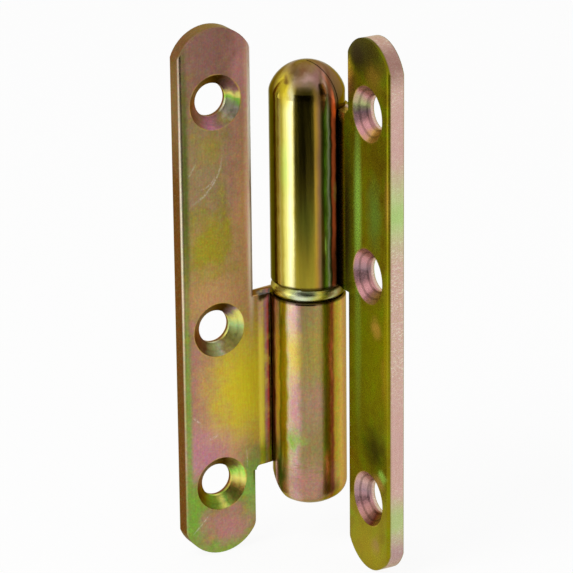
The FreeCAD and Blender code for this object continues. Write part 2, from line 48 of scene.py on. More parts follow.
# sizes of the hinge that the finishes go by, in mm; the neck ends at LEAF_REACH from the pin axis
PLATE = 3.5
EDGE_ROUND = 0.8
LEAF_REACH = 10.8
KNUCKLE_RADIUS = 7.5
RING_HALF = 1.4
SINK_RADIUS = 5.6
# bearing from the pin axis to the camera, in degrees
CAMERA_BEARING = -119.2

# fineness of the film's patterns, in features per mm
WANDER = 0.35
CLOUD = 0.3
GRAIN = 2.4
STREAK = 1.1
SHEAR = 5.0
TOOL_MARK = 2.5
BRUSH = 3.0
FLECK = 3.2
# fineness of each layer of speckle and its share of a leaf's speckle
SPECKLES = ((0.9, 0.6), (2.2, 1.0), (6.0, 0.5))

# countersinks: soft edge and rim in mm, strength of the painted highlight on the rim, and the turned wave
# in radians per mm with its waver
SINK_EDGE = 0.1
RIM_WIDTH = 0.3
RIM_HIGHLIGHT = 0.6
TURNED_WAVE = 5.5
TURNED_WAVER = 2.0

# depth of the relief on leaves and turned pieces, in mm, and the film's own shine
LEAF_RELIEF = 0.035
TURNED_RELIEF = 0.01
FILM_TINT = (0.6, 0.55, 0.35, 1.0)
FILM_SHINE = 0.15

# colours of the film, some also used for painted reflections, highlights and shade
GREEN = (0.21, 0.39, 0.05)
BRIGHT_GREEN = (0.42, 0.66, 0.20)
PALE_GREEN = (0.52, 0.70, 0.26)
SILVER = (0.70, 0.76, 0.52)
FOREST = (0.10, 0.13, 0.02)
MOSS = (0.23, 0.30, 0.002)
FERN = (0.30, 0.50, 0.06)
STRAW = (0.60, 0.52, 0.07)
LICHEN = (0.46, 0.50, 0.22)
BOTTLE = (0.20, 0.20, 0.012)
PEAT = (0.20, 0.15, 0.003)
CITRON = (0.44, 0.40, 0.006)
FIR = (0.25, 0.23, 0.003)
SPRING = (0.46, 0.85, 0.13)
OLIVE = (0.40, 0.32, 0.03)
DULL_OLIVE = (0.29, 0.22, 0.07)
DARK_OLIVE = (0.06, 0.05, 0.002)
LIME = (0.92, 0.86, 0.21)
CREAM_HIGHLIGHT = (0.82, 0.77, 0.42)
YELLOW = (0.82, 0.66, 0.035)
GOLD = (0.62, 0.40, 0.08)
AMBER = (0.38, 0.28, 0.006)
ORANGE = (0.66, 0.38, 0.11)
SALMON = (0.58, 0.32, 0.14)
PINK = (0.61, 0.29, 0.30)
LILAC = (0.40, 0.25, 0.28)
ROSE = (0.46, 0.22, 0.18)
BLUSH = (0.68, 0.42, 0.38)
MAUVE = (0.28, 0.135, 0.115)
RED = (0.78, 0.11, 0.07)
SUN = (1.0, 0.84, 0.09)
SCARLET = (0.95, 0.19, 0.05)
BRONZE = (0.42, 0.25, 0.03)
RUST = (0.16, 0.05, 0.02)
BROWN = (0.09, 0.04, 0.01)
TAN = (0.24, 0.13, 0.06)
UMBER = (0.035, 0.022, 0.004)
KHAKI = (0.36, 0.25, 0.12)
BEIGE = (0.66, 0.52, 0.32)
PALE = (0.85, 0.78, 0.58)
BARE_AND_HIGHLIGHT = (1.0, 0.96, 0.82)
MAGENTA = (0.48, 0.19, 0.27)
BRICK = (0.28, 0.07, 0.03)
FLAME = (0.90, 0.28, 0.12)
CORAL = (0.86, 0.50, 0.34)
# plain steel of the pin, and a lighter steel for a painted highlight on its side towards the camera
STEEL = (0.50, 0.50, 0.49)
STEEL_HIGHLIGHT = (0.66, 0.66, 0.64)


class Finish:
    """One material and the node chains that make it."""

    def __init__(self, name):
        self.material = bpy.data.materials.new(name)
        self.material.use_nodes = True
        self.tree = self.material.node_tree
        self.shader = self.tree.nodes["Principled BSDF"]
        self.shader.inputs["Specular Tint"].default_value = FILM_TINT
        self.shader.inputs["Specular IOR Level"].default_value = FILM_SHINE

    def node(self, kind, inputs=(), **settings):
        node = self.tree.nodes.new("ShaderNode" + kind)
        for key, value in settings.items():
            setattr(node, key, value)
        for key, value in dict(inputs).items():
            self.put(node.inputs[key], value)
        return node

    def put(self, socket, value):
        if isinstance(value, bpy.types.NodeSocket):
            self.tree.links.new(value, socket)
        else:
            socket.default_value = value

    def math(self, operation, first, second=0.0):
        return self.node("Math", {0: first, 1: second}, operation=operation).outputs[0]

    def times(self, first, second):
        return self.math("MULTIPLY", first, second)

    def plus(self, first, second):
        return self.math("ADD", first, second)

    def minus(self, first, second):
        return self.math("SUBTRACT", first, second)

    def most(self, first, second):
        return self.math("MAXIMUM", first, second)

    def apart(self, first, second):
        """Distance between two values."""
        return self.math("ABSOLUTE", self.minus(first, second))

    def shift(self, vector, offset):
        return self.node("VectorMath", {0: vector, 1: offset}, operation="ADD").outputs[0]

    def rescale(self, vector, scale, offset=(0, 0, 0)):
        inputs = {0: vector, 1: scale, 2: offset}
        return self.node("VectorMath", inputs, operation="MULTIPLY_ADD").outputs[0]

    def length(self, vector):
        return self.node("VectorMath", {0: vector}, operation="LENGTH").outputs["Value"]

    def parts(self, vector):
        return self.node("SeparateXYZ", {0: vector}).outputs

    def step(self, value, low, high, start=0.0, end=1.0):
        """Smooth change from start to end as value goes from low to high."""
        inputs = {"Value": value, 1: low, 2: high, 3: start, 4: end}
        return self.node("MapRange", inputs, interpolation_type="SMOOTHSTEP").outputs[0]

    def fade(self, value, low, high, strength=1.0):
        """Smooth fall from strength to 0 as value goes from low to high."""
        return self.step(value, low, high, strength, 0.0)

    def mix(self, share, first, second):
        return self.node("Mix", {0: share, 2: first, 3: second}).outputs[0]

    def tint(self, share, first, second, blend="MIX"):
        inputs = {0: share, 6: first, 7: second}
        return self.node("Mix", inputs, data_type="RGBA", blend_type=blend).outputs[2]

    def over(self, share, colour, shade):
        """A plain shade over a colour."""
        return self.tint(share, colour, (*shade, 1.0))

    def noise(self, vector, scale, stretch=(1, 1, 1), detail=4.0):
        """Noise from 0 to 1 with features of about 1 / scale mm, longer where stretch is small."""
        inputs = {"Vector": self.rescale(vector, stretch), "Scale": scale, "Detail": detail}
        return self.node("TexNoise", inputs).outputs[0]

    def colour_noise(self, vector, scale, detail=5.0):
        inputs = {"Vector": vector, "Scale": scale, "Detail": detail}
        return self.node("TexNoise", inputs).outputs["Color"]

    def ramp(self, value, stops):
        node = self.node("ValToRGB", {0: value})
        elements = node.color_ramp.elements
        while len(elements) < len(stops):
            elements.new(1.0)
        for element, (place, colour) in zip(elements, stops):
            element.position = place
            element.color = (*colour, 1.0)
        return node.outputs[0]

    def patch(self, vector, centre, radii, core=0.1, rim=1.3):
        """Mask of a soft oval patch on the leaf, 1 in its core and 0 beyond its rim, both as shares
        of the radii."""
        scale = (1 / radii[0], 0, 1 / radii[1])
        offset = (-centre[0] / radii[0], 0, -centre[1] / radii[1])
        return self.fade(self.length(self.rescale(vector, scale, offset)), core, rim)

    def layers(self, colour, vector, patches):
        """Soft patches over a colour, each a colour, its centre and radii in mm and its strength."""
        for shade, centre, radii, strength in patches:
            mask = self.times(self.patch(vector, centre, radii), strength)
            colour = self.over(mask, colour, shade)
        return colour

    def scratch(self, vector, start, end, bow, width):
        """Mask of a thin arc on the leaf from start to end, bowed to the right of its way."""
        chord = Vector(end) - Vector(start)
        middle = (Vector(start) + Vector(end)) / 2
        radius = (chord.length ** 2 / 4 + bow ** 2) / (2 * bow)
        centre = middle + Vector((chord.y, -chord.x)).normalized() * (bow - radius)
        ring = self.length(self.rescale(vector, (1, 0, 1), (-centre.x, 0, -centre.y)))
        line = self.fade(self.apart(ring, radius), 0.0, width)
        ends = self.patch(vector, middle, (chord.length / 2,) * 2, core=0.5, rim=1.0)
        return self.times(line, ends)

    def turn_share(self, first, second, start):
        """Share of a full turn from start, in degrees, of the direction with these two parts."""
        turn = self.math("DIVIDE", self.math("ARCTAN2", second, first), 2 * math.pi)
        return self.math("FRACT", self.plus(turn, 2 - start / 360))

    def uneven(self, noise, amount):
        """Noise made to waver about 0."""
        return self.times(self.minus(noise, 0.5), amount)

    def local(self, centre, turn=0.0):
        """Object coordinates in mm, from a centre in the frame, turned about Z."""
        rotation = Matrix.Rotation(turn, 3, "Z")
        inputs = {
            "Vector": self.node("TexCoord").outputs["Object"],
            "Location": -(rotation @ centre) / MM,
            "Rotation": (0, 0, turn),
            "Scale": (1 / MM,) * 3,
        }
        return self.node("Mapping", inputs).outputs[0]

    def finish(self, colour, roughness, height, depth, metal=1.0):
        self.put(self.shader.inputs["Base Color"], colour)
        self.put(self.shader.inputs["Metallic"], metal)
        self.put(self.shader.inputs["Roughness"], roughness)
        bump = self.node("Bump", {"Height": height, "Distance": depth * MM, "Strength": 1.0})
        self.put(self.shader.inputs["Normal"], bump.outputs[0])
        return self.material


def hole_heights(leaf):
    """Heights of a leaf's screw holes in mm, from its mounts."""
    found = set()
    for row in ("outer", "inner"):
        mount = mounts["%s_%s_screws" % (leaf, row)]
        for way in (-0.5, 0.5):
            found.add(round(mount["pos_m"][2] / MM + way * mount["dims"]["spacing_y_mm"], 3))
    return sorted(found)


def leaf_finish(leaf, look):
    """Finish of one leaf. On the leaf X runs across it, from left to right as its inner face is seen,
    Y is the depth behind that face and Z the height, all in mm."""
    paint = Finish(leaf + "_zinc")
    seat = mounts[leaf + "_seat"]
    face = Vector(seat["pos_m"]) - PLATE * MM * Vector(seat["axis"])
    flat = paint.local(face, look["turn"])
    about_pin = paint.local(pin_axis)
    depth = paint.parts(flat)[1]

    # the film's own unevenness, in clouds, grain and streaks along the roll
    wander = paint.colour_noise(flat, WANDER, detail=4.0)
    drift = paint.rescale(wander, (look["drift"],) * 3, (-look["drift"] / 2,) * 3)
    loose = paint.shift(flat, drift)
    cloud = paint.noise(flat, CLOUD, detail=6.0)
    grain = paint.noise(flat, GRAIN, detail=6.0)
    streak = paint.noise(about_pin, STREAK, stretch=(1, 1, 0.04), detail=3.0)

    # inner and back face, with bands along its long edges, most of them painted reflections, highlights and
    # shade on and near the rounded edges
    colour = paint.ramp(cloud, look["ground"])
    colour = paint.layers(colour, loose, look["patches"])
    colour = paint.layers(colour, flat, look["edges"])

    # sheared sides behind the rounded edges
    shear = paint.noise(flat, SHEAR, stretch=(1, 0.4, 1), detail=6.0)
    sides = paint.ramp(shear, look["side"])
    sides = paint.layers(sides, loose, look["side_patches"])
    behind = paint.step(depth, EDGE_ROUND * 0.5, EDGE_ROUND)
    in_front = paint.fade(depth, PLATE - 0.15, PLATE - 0.05)
    sheared = paint.times(behind, in_front)
    colour = paint.tint(sheared, colour, sides)

    # countersinks from the lowest up: colour round each hole by its angle, painted reflections and shade
    # in the cone, turned rings and a painted highlight on the rim
    sunk = paint.fade(depth, PLATE - 0.9, PLATE - 0.5)
    rings = 0.0
    for hole, cone_reflection in zip(hole_heights(leaf), look["sinks"]):
        centred = paint.rescale(flat, (1, 0, 1), (0, 0, -hole))
        radius = paint.length(centred)
        wide, _, tall = paint.parts(centred)
        around = paint.plus(paint.turn_share(wide, tall, 0.0), paint.uneven(cloud, 0.2))
        inside = paint.times(paint.fade(radius, SINK_RADIUS - SINK_EDGE, SINK_RADIUS), sunk)
        colour = paint.tint(inside, colour, paint.ramp(around, cone_reflection))
        # gold line round the rim: a painted highlight
        rim = paint.fade(paint.apart(radius, SINK_RADIUS), 0.0, RIM_WIDTH, RIM_HIGHLIGHT)
        rim = paint.times(rim, sunk)
        colour = paint.over(paint.times(rim, paint.step(cloud, 0.4, 0.6)), colour, GOLD)
        wave = paint.plus(paint.times(radius, TURNED_WAVE), paint.times(cloud, TURNED_WAVER))
        turned = paint.times(paint.math("SINE", wave), inside)
        colour = paint.over(paint.step(turned, 0.3, 1.0, 0.0, look["sink_lines"]), colour, UMBER)
        rings = paint.plus(rings, turned)

    # neck: bands by the distance from the pin, darkest next to the knuckle as painted shade in the crevice
    x, y, z = paint.parts(about_pin)
    reach = paint.length(paint.rescale(about_pin, (1, 1, 0)))
    near = paint.fade(reach, LEAF_REACH - 0.9, LEAF_REACH - 0.1)
    neck = paint.times(near, paint.fade(depth, 2.0, 3.0))
    neck_length = LEAF_REACH - KNUCKLE_RADIUS
    neck_share = paint.math("DIVIDE", paint.minus(reach, KNUCKLE_RADIUS), neck_length)
    neck_colour = paint.ramp(paint.plus(neck_share, paint.times(streak, 0.1)), look["neck"])
    neck_colour = paint.layers(neck_colour, loose, look["neck_patches"])
    colour = paint.tint(neck, colour, neck_colour)

    # knuckle: painted reflections as light and dark bands by the angle round the pin from the camera's
    # side, with patches on the unrolled surface, some of them painted highlights
    bearing = paint.turn_share(x, y, CAMERA_BEARING - 180)
    bearing = paint.plus(bearing, paint.uneven(cloud, look["waver"]))
    band = paint.ramp(bearing, look["reflection_bands"])
    arc = paint.times(paint.times(paint.minus(bearing, 0.5), reach), 2 * math.pi)
    unrolled = paint.node("CombineXYZ", {0: arc, 2: z}).outputs[0]
    swayed = paint.shift(unrolled, paint.rescale(drift, (0.4, 0, 0.8)))
    band = paint.layers(band, swayed, look["knuckle_patches"])
    marks = paint.noise(unrolled, TOOL_MARK, stretch=(0.12, 1, 1))
    marks = paint.step(marks, 0.5, 0.62, 0.0, 0.6)
    marks = paint.times(marks, paint.patch(unrolled, *look["tool_marks"]))
    band = paint.over(marks, band, DULL_OLIVE)
    knuckle = paint.fade(reach, KNUCKLE_RADIUS + 0.1, KNUCKLE_RADIUS + 0.4)
    # painted shade at the knuckle's mouth by the ring
    mouth_shade = paint.fade(paint.math("ABSOLUTE", z), RING_HALF + 0.15, RING_HALF + 0.7, 0.85)
    band = paint.over(mouth_shade, band, UMBER)
    colour = paint.tint(knuckle, colour, band)

    # speckle over everything, then painted highlights on the rounded edges and scratches that scatter the
    # light on the inner face, both pale and less metallic
    for fineness, share in SPECKLES:
        speckle = paint.colour_noise(flat, fineness)
        colour = paint.tint(look["speckle"] * share, colour, speckle, "OVERLAY")
    brushed = paint.noise(flat, BRUSH, stretch=(1, 1, 0.07), detail=5.0)
    brushed = paint.times(paint.step(brushed, 0.35, 0.65), look["brushed"])
    colour = paint.tint(brushed, colour, paint.tint(1.0, colour, (*BEIGE, 1.0), "MULTIPLY"))
    flecks = paint.step(paint.noise(flat, FLECK, detail=2.0), 0.69, 0.75, 0.0, look["flecks"])
    colour = paint.over(flecks, colour, BEIGE)
    # painted highlights on the rounded edges, then real scratches, in one pale and less metallic mask
    highlight_and_wear = 0.0
    for centre, radii, strength in look["edge_highlights"]:
        on_edge = paint.fade(depth, 0.4, EDGE_ROUND, strength)
        highlight_and_wear = paint.most(highlight_and_wear, paint.times(paint.patch(flat, centre, radii), on_edge))
    for start, end, bow, width, strength in look["scratches"]:
        ragged = paint.times(paint.scratch(flat, start, end, bow, width), paint.step(grain, 0.35, 0.6))
        highlight_and_wear = paint.most(highlight_and_wear, paint.times(ragged, paint.fade(depth, 0.2, 0.6, strength)))
    colour = paint.over(highlight_and_wear, colour, BARE_AND_HIGHLIGHT)

    # satin faces and a smoother knuckle, with grain, turned rings and sheared sides in the relief
    satin = paint.step(grain, 0.3, 0.7, look["rough"] - 0.05, look["rough"] + 0.08)
    polish = paint.step(streak, 0.3, 0.7, look["knuckle_rough"] - 0.03, look["knuckle_rough"] + 0.05)
    roughness = paint.mix(knuckle, satin, polish)
    fine = paint.times(grain, paint.mix(knuckle, look["grain"], look["knuckle_grain"]))
    cut = paint.times(paint.times(shear, sheared), paint.minus(1.0, knuckle))
    relief = paint.plus(paint.times(rings, 0.04), paint.times(cut, 0.02))

    # where the film is thick it scatters light over the metal's own shine
    thick = 0.0
    for centre, radii, strength in look["knuckle_haze"]:
        thick = paint.most(thick, paint.times(paint.patch(unrolled, centre, radii), strength))
    haze = paint.mix(knuckle, paint.mix(neck, look["haze"], look["neck_haze"]), thick)
    metal = paint.minus(1.0, paint.most(highlight_and_wear, haze))
    return paint.finish(colour, roughness, paint.plus(fine, relief), LEAF_RELIEF, metal)


# Looks of the two leaves. A patch is a colour, the centre and radii across and up in mm, and a
# strength. A scratch is its start and end, its bow and width in mm, and a strength. A list of stops
# gives colours by noise, by the share of a turn or by the share of the neck. On the knuckle the first
# place is the arc to the right of the camera's side.
lower_look = {
    "turn": 0.0,
    "drift": 6.0,
    "ground": [(0.35, OLIVE), (0.45, DULL_OLIVE), (0.55, KHAKI), (0.65, ROSE)],
    "patches": [
        (MAUVE, (0, 51), (14, 20), 0.9),
        (ROSE, (6.5, 42), (4.5, 17), 0.9),
        (KHAKI, (-3, 27), (8, 11), 0.85),
        (OLIVE, (-1, 31), (4, 4), 0.5),
        (ROSE, (5.0, 25), (3.6, 16), 0.8),
        (OLIVE, (-1.5, 10), (7, 10), 1.0),
        (SALMON, (6.5, 14), (3.8, 26), 1.0),
        (SALMON, (0, 0), (13, 7), 0.95),
        (ROSE, (-4.5, -18), (6, 14), 0.9),
        (PINK, (-2, -32), (12, 8), 1.0),
        (ORANGE, (6.5, -20), (12.5, 17), 0.8),
        (YELLOW, (6.5, -20), (10.3, 14.5), 1.0),
        (MAGENTA, (-3.0, -33), (5, 5), 0.5),
        (PINK, (6.2, 46), (3, 9), 0.6),
        (GREEN, (7.0, -41.5), (3.8, 8.5), 1.0),
        (BRIGHT_GREEN, (7.0, -41), (3, 6), 0.3),
        (GREEN, (-6.5, -46), (3.6, 9), 1.0),
        (ROSE, (1.2, -49.5), (6.8, 5), 1.0),
        (GREEN, (-1, -56), (13, 4.6), 0.8),
    ],
    "edges": [
        # painted reflections and highlights on the rounded long edges: dark green lines down the left edge,
        # a pale highlight line at its arris and a coral fringe of the highlight down the right edge
        (FOREST, (-6.9, 26), (0.9, 34), 0.9),
        (GREEN, (-7.2, -26), (0.9, 34), 0.8),
        (BEIGE, (-7.8, 0), (0.2, 70), 0.4),
        (CORAL, (6.9, 26), (1.0, 34), 0.8),
    ],
    # painted highlights: pale, less metallic strips on the rounded edges, two down the right edge and one
    # down the left
    "edge_highlights": [
        ((7.5, 36), (0.7, 19), 1.0),
        ((7.3, 10), (0.8, 17), 0.6),
        ((-7.8, 20), (0.3, 40), 0.4),
    ],
    "side": [(0.3, TAN), (0.5, RUST), (0.7, TAN)],
    "sink_lines": 0.12,
    "side_patches": [
        (KHAKI, (-7.9, 40), (9, 14), 0.5),
        (KHAKI, (2, 56), (9, 6), 0.7),
        (GREEN, (0, -56), (9, 5), 0.8),
    ],
    # colours by the angle round each hole: painted reflections and shade in the cone, dark at the top and
    # left, bright at the right
    "sinks": [
        [
            (0.0, LIME), (0.07, SPRING), (0.14, DULL_OLIVE), (0.2, BROWN), (0.38, RUST), (0.5, BRICK),
            (0.6, OLIVE), (0.68, SPRING), (0.75, LIME), (0.82, GREEN), (0.9, GOLD), (1.0, LIME),
        ],
        [
            (0.0, PALE_GREEN), (0.06, LIME), (0.12, LILAC), (0.2, BROWN), (0.38, RUST), (0.5, BRICK),
            (0.64, MAUVE), (0.72, SILVER), (0.8, DULL_OLIVE), (0.9, LIME), (1.0, PALE_GREEN),
        ],
        [
            (0.0, SPRING), (0.04, LIME), (0.1, MAUVE), (0.2, BROWN), (0.38, RUST), (0.5, BRICK),
            (0.62, ROSE), (0.7, MAGENTA), (0.8, MAUVE), (0.86, DULL_OLIVE), (0.93, PALE), (1.0, SPRING),
        ],
    ],
    # darkest next to the knuckle: painted shade in the crevice
    "neck": [(0.0, UMBER), (0.19, UMBER), (0.27, RED), (0.46, PINK), (0.54, ORANGE), (0.62, SUN)],
    "neck_patches": [
        (MOSS, (10, -36), (4, 5), 0.8),
        (SUN, (9.2, -17), (1.8, 16), 0.7),
        (PINK, (9.4, -4), (2.2, 6), 0.7),
        # dark line at the top of the neck by the ring: painted shade
        (UMBER, (9.5, -0.8), (5, 1.3), 1.0),
    ],
    "waver": 0.03,
    # light and dark bands round the knuckle, set from the camera's side: painted reflections
    "reflection_bands": [
        (0.0, OLIVE), (0.08, SALMON), (0.16, OLIVE), (0.25, GOLD), (0.31, DARK_OLIVE), (0.327, BLUSH),
        (0.35, BEIGE), (0.36, BOTTLE), (0.375, AMBER), (0.395, AMBER), (0.41, BEIGE), (0.44, BLUSH),
        (0.47, KHAKI), (0.555, KHAKI), (0.565, OLIVE), (0.57, BOTTLE), (0.59, BRONZE), (0.605, BRICK),
        (0.615, BRONZE), (0.63, OLIVE), (0.66, GOLD), (0.69, SALMON), (0.74, GOLD), (0.82, ROSE),
        (0.9, OLIVE), (1.0, OLIVE),
    ],
    "knuckle_patches": [
        (YELLOW, (-2.9, -13), (1.9, 7), 0.7),
        (OLIVE, (1.5, -11), (4.5, 10), 0.6),
        (ROSE, (1.5, -22), (3.0, 5), 0.5),
        (PINK, (-3.0, -24), (1.5, 8), 0.6),
        (BLUSH, (-3.0, -4.5), (1.4, 2.8), 0.6),
        (DULL_OLIVE, (1.0, -32), (4, 5), 0.6),
        (FERN, (-3.4, -31), (1.2, 3.2), 0.9),
        (FERN, (-1.6, -30.6), (2.0, 1.0), 0.5),
        (ROSE, (-1.0, -40), (8, 5), 0.8),
        (FLAME, (4.6, -13), (0.5, 6), 0.5),
        (FLAME, (3.6, -36.5), (0.6, 3.2), 0.8),
        (BROWN, (4.5, -42), (3.0, 3.0), 0.7),
        (FOREST, (-6.8, -38), (1.4, 5), 0.8),
    ],
    "tool_marks": ((-0.5, -36.5), (6, 4)),
    "speckle": 0.4,
    "brushed": 0.15,
    "flecks": 0.35,
    "scratches": [
        ((-6.4, 19.6), (1.3, 29.6), 2.0, 0.4, 0.3),
        ((-4.4, 22.9), (-0.2, 25.6), 1.0, 0.3, 0.25),
        ((-6.4, -24.2), (-4.4, -26.2), 0.1, 0.35, 0.35),
        ((-3.0, -30.0), (-0.4, -29.2), 0.1, 0.4, 0.35),
        ((-7.0, -50.0), (-2.8, -46.0), 0.1, 0.25, 0.3),
        ((5.8, -38.0), (5.6, -33.0), 0.1, 0.25, 0.25),
        ((-6.5, 25.5), (-4.5, 28.5), 0.1, 0.3, 0.25),
    ],
    "rough": 0.34,
    "grain": 0.2,
    "haze": 0.0,
    "neck_haze": 0.85,
    "knuckle_haze": [((-4.5, -20), (2.0, 40), 0.3)],
    "knuckle_rough": 0.24,
    "knuckle_grain": 0.1,
}

upper_look = {
    "turn": math.radians(90),
    "drift": 3.5,
    "ground": [(0.3, PEAT), (0.5, FIR), (0.7, MOSS)],
    "patches": [
        (MOSS, (0, -12), (10, 22), 0.5),
        # the dark top of the face is a painted reflection
        (DARK_OLIVE, (-1, 52), (10, 6), 0.95),
        (UMBER, (-4, 51), (4, 3.5), 0.9),
        (BRONZE, (2.5, 47.5), (3.5, 3.5), 0.6),
        (FLAME, (-7.6, 45.5), (2.0, 4), 0.6),
        (YELLOW, (-7.6, 47.5), (2.2, 3), 0.8),
        (BRICK, (-5.5, 44), (2.0, 3), 0.5),
        (PEAT, (3, 32), (5, 6), 0.8),
        (GREEN, (2.5, 20), (3.0, 8), 0.8),
        (GOLD, (3.2, -2.8), (2.4, 2.4), 0.8),
        (BRONZE, (6.5, -12), (1.6, 6), 0.5),
        (DARK_OLIVE, (2.5, -28.5), (5, 5), 0.9),
        (SPRING, (5.5, -33.5), (1.6, 1.4), 0.9),
        (ORANGE, (3.5, -35.2), (3.0, 1.5), 0.7),
        (AMBER, (0, -41), (10, 6), 0.6),
        (AMBER, (0, -51), (10, 6), 0.7),
        (ROSE, (3, -49), (2.0, 2.5), 0.3),
    ],
    "edges": [
        # painted shade next to the neck, then a spring and a fern streak down the face as painted
        # reflections of the knuckle
        (UMBER, (-8.4, 15), (3.2, 25), 0.95),
        (SPRING, (-3.7, 20), (1.6, 18), 1.0),
        (FERN, (-3.8, -6), (1.5, 22), 0.6),
        (PEAT, (7.7, 0), (0.8, 70), 0.6),
        (CITRON, (6.8, -6), (0.9, 22), 0.6),
        (BRONZE, (7.2, 24), (0.9, 7), 0.7),
        (AMBER, (-7.7, -30), (0.6, 30), 0.6),
    ],
    "edge_highlights": [],
    "sink_lines": 0.45,
    "side": [(0.3, BEIGE), (0.5, BLUSH), (0.7, PALE)],
    "side_patches": [
        (MAUVE, (7.9, 52), (9, 5), 0.8),
        (BLUSH, (7.9, 37), (9, 11), 0.7),
        (PALE_GREEN, (7.9, 22), (9, 9), 0.8),
        (BRIGHT_GREEN, (7.9, 21.5), (9, 2.5), 0.6),
        (BLUSH, (7.9, -27), (9, 16), 0.8),
        (BRIGHT_GREEN, (7.9, -42.5), (9, 5), 0.7),
        (LILAC, (7.9, -49.5), (9, 4), 0.6),
    ],
    # colours by the angle round each hole: painted reflections and shade in the cone
    "sinks": [
        [
            (0.0, SPRING), (0.1, FERN), (0.2, TAN), (0.3, ROSE), (0.42, BLUSH), (0.5, LILAC),
            (0.58, PINK), (0.68, ROSE), (0.76, BRICK), (0.86, BRONZE), (1.0, SPRING),
        ],
        [
            (0.0, AMBER), (0.18, BRONZE), (0.28, ROSE), (0.4, PINK), (0.5, LILAC), (0.6, PINK),
            (0.7, PINK), (0.77, SALMON), (0.85, AMBER), (1.0, AMBER),
        ],
        [
            (0.0, AMBER), (0.18, BRONZE), (0.28, ROSE), (0.38, PINK), (0.48, LICHEN), (0.55, LILAC),
            (0.62, PINK), (0.68, PINK), (0.75, ORANGE), (0.83, BRONZE), (1.0, AMBER),
        ],
    ],
    # dark next to the knuckle: painted shade in the crevice
    "neck": [(0.0, UMBER), (0.4, UMBER), (0.6, DARK_OLIVE), (0.85, MOSS)],
    "neck_patches": [(GOLD, (-10, 37.6), (4, 1.2), 0.8)],
    "waver": 0.018,
    # painted reflections round the knuckle, set from the camera's side: a dark left edge, a lime band, a
    # cream highlight and thin coloured lines
    "reflection_bands": [
        (0.0, OLIVE), (0.08, BRONZE), (0.16, OLIVE), (0.25, DARK_OLIVE), (0.33, DARK_OLIVE),
        (0.345, OLIVE), (0.36, STRAW), (0.37, LIME), (0.385, STRAW), (0.40, LIME), (0.425, CREAM_HIGHLIGHT),
        (0.45, OLIVE), (0.52, OLIVE), (0.535, BRONZE), (0.55, TAN), (0.57, FOREST), (0.583, SPRING),
        (0.592, SILVER), (0.599, FOREST), (0.606, UMBER), (0.613, SCARLET), (0.626, SCARLET),
        (0.634, UMBER), (0.8, BRONZE), (1.0, OLIVE),
    ],
    "knuckle_patches": [
        (TAN, (0, 48), (60, 8.5), 1.0),
        (DULL_OLIVE, (-1.5, 46.4), (2.2, 1.4), 0.6),
        # painted highlight
        (LILAC, (0.6, 43.8), (3.6, 1.7), 0.5),
        (RUST, (-0.8, 45.4), (1.4, 0.6), 0.6),
        (DULL_OLIVE, (1.6, 45.8), (1.0, 0.8), 0.6),
        (BROWN, (-2.6, 45.0), (1.6, 0.9), 0.7),
        (MAUVE, (2.2, 44.6), (1.6, 1.6), 0.8),
        # painted highlight
        (YELLOW, (-5.0, 42.0), (2.6, 3.4), 1.0),
        (RUST, (-4.4, 43.9), (0.9, 0.7), 0.7),
        # a painted highlight in cream, then a painted dark reflection, the tops of the knuckle's bands
        (CREAM_HIGHLIGHT, (-3.2, 40.8), (0.8, 2.6), 0.8),
        (DARK_OLIVE, (0.4, 41.5), (3.0, 2.6), 0.7),
        # painted highlight
        (BLUSH, (0.3, 44.0), (1.5, 0.6), 0.3),
        (BROWN, (2.9, 42), (0.7, 3.4), 0.8),
        (ROSE, (3.6, 42), (0.6, 4), 0.7),
        (RUST, (4.8, 42), (0.8, 4), 0.9),
        (SPRING, (-4.5, 26), (1.6, 7), 0.4),
        (UMBER, (5.7, 5), (1.2, 8), 0.7),
        (GOLD, (6.0, 21), (0.6, 2.5), 0.8),
        (BROWN, (0.6, 30), (2.4, 7), 0.3),
        (GREEN, (-0.4, 16), (2.2, 7), 0.3),
    ],
    "tool_marks": ((0, 26), (2, 8)),
    "speckle": 0.05,
    "brushed": 0.15,
    "flecks": 0.2,
    "scratches": [],
    "rough": 0.25,
    "grain": 0.015,
    "haze": 0.32,
    "neck_haze": 0.1,
    "knuckle_haze": [((-4.7, 20), (1.8, 60), 0.7), ((5.3, 20), (1.6, 60), 0.6)],
    "knuckle_rough": 0.15,
    "knuckle_grain": 0.06,
}


def turned_finish(name, reflection_bands, roughness):
    """Finish of a turned piece: painted reflections as light and dark bands by the bearing round the pin
    axis from the camera's side, under clouds and fine rings.
    """
    paint = Finish(name)
    spot = paint.local(pin_axis)
    x, y, _ = paint.parts(spot)
    cloud = paint.noise(spot, 0.5, detail=4.0)
    fine = paint.noise(spot, 4.0, stretch=(0.15, 0.15, 1), detail=5.0)
    bearing = paint.turn_share(x, y, CAMERA_BEARING - 180)
    colour = paint.ramp(paint.plus(bearing, paint.uneven(cloud, 0.08)), reflection_bands)
    colour = paint.tint(0.25, colour, paint.colour_noise(spot, 1.5), "OVERLAY")
    rough = paint.step(fine, 0.3, 0.7, roughness - 0.05, roughness + 0.06)
    return paint.finish(colour, rough, fine, TURNED_RELIEF)


def dress(piece, material):
    """Give a piece its one material."""
    slots = nodes[piece].data.materials
    slots.clear()
    slots.append(material)


# painted reflections round the ring, set from the camera's side: a silver highlight between lime bands and
# dark olive at the right
ring_bands = [
    (0.0, OLIVE), (0.29, DULL_OLIVE), (0.33, STRAW), (0.38, LIME), (0.43, LICHEN), (0.47, SILVER),
    (0.51, LICHEN), (0.56, STRAW), (0.60, LICHEN), (0.64, DULL_OLIVE), (0.68, DARK_OLIVE), (1.0, OLIVE),
]
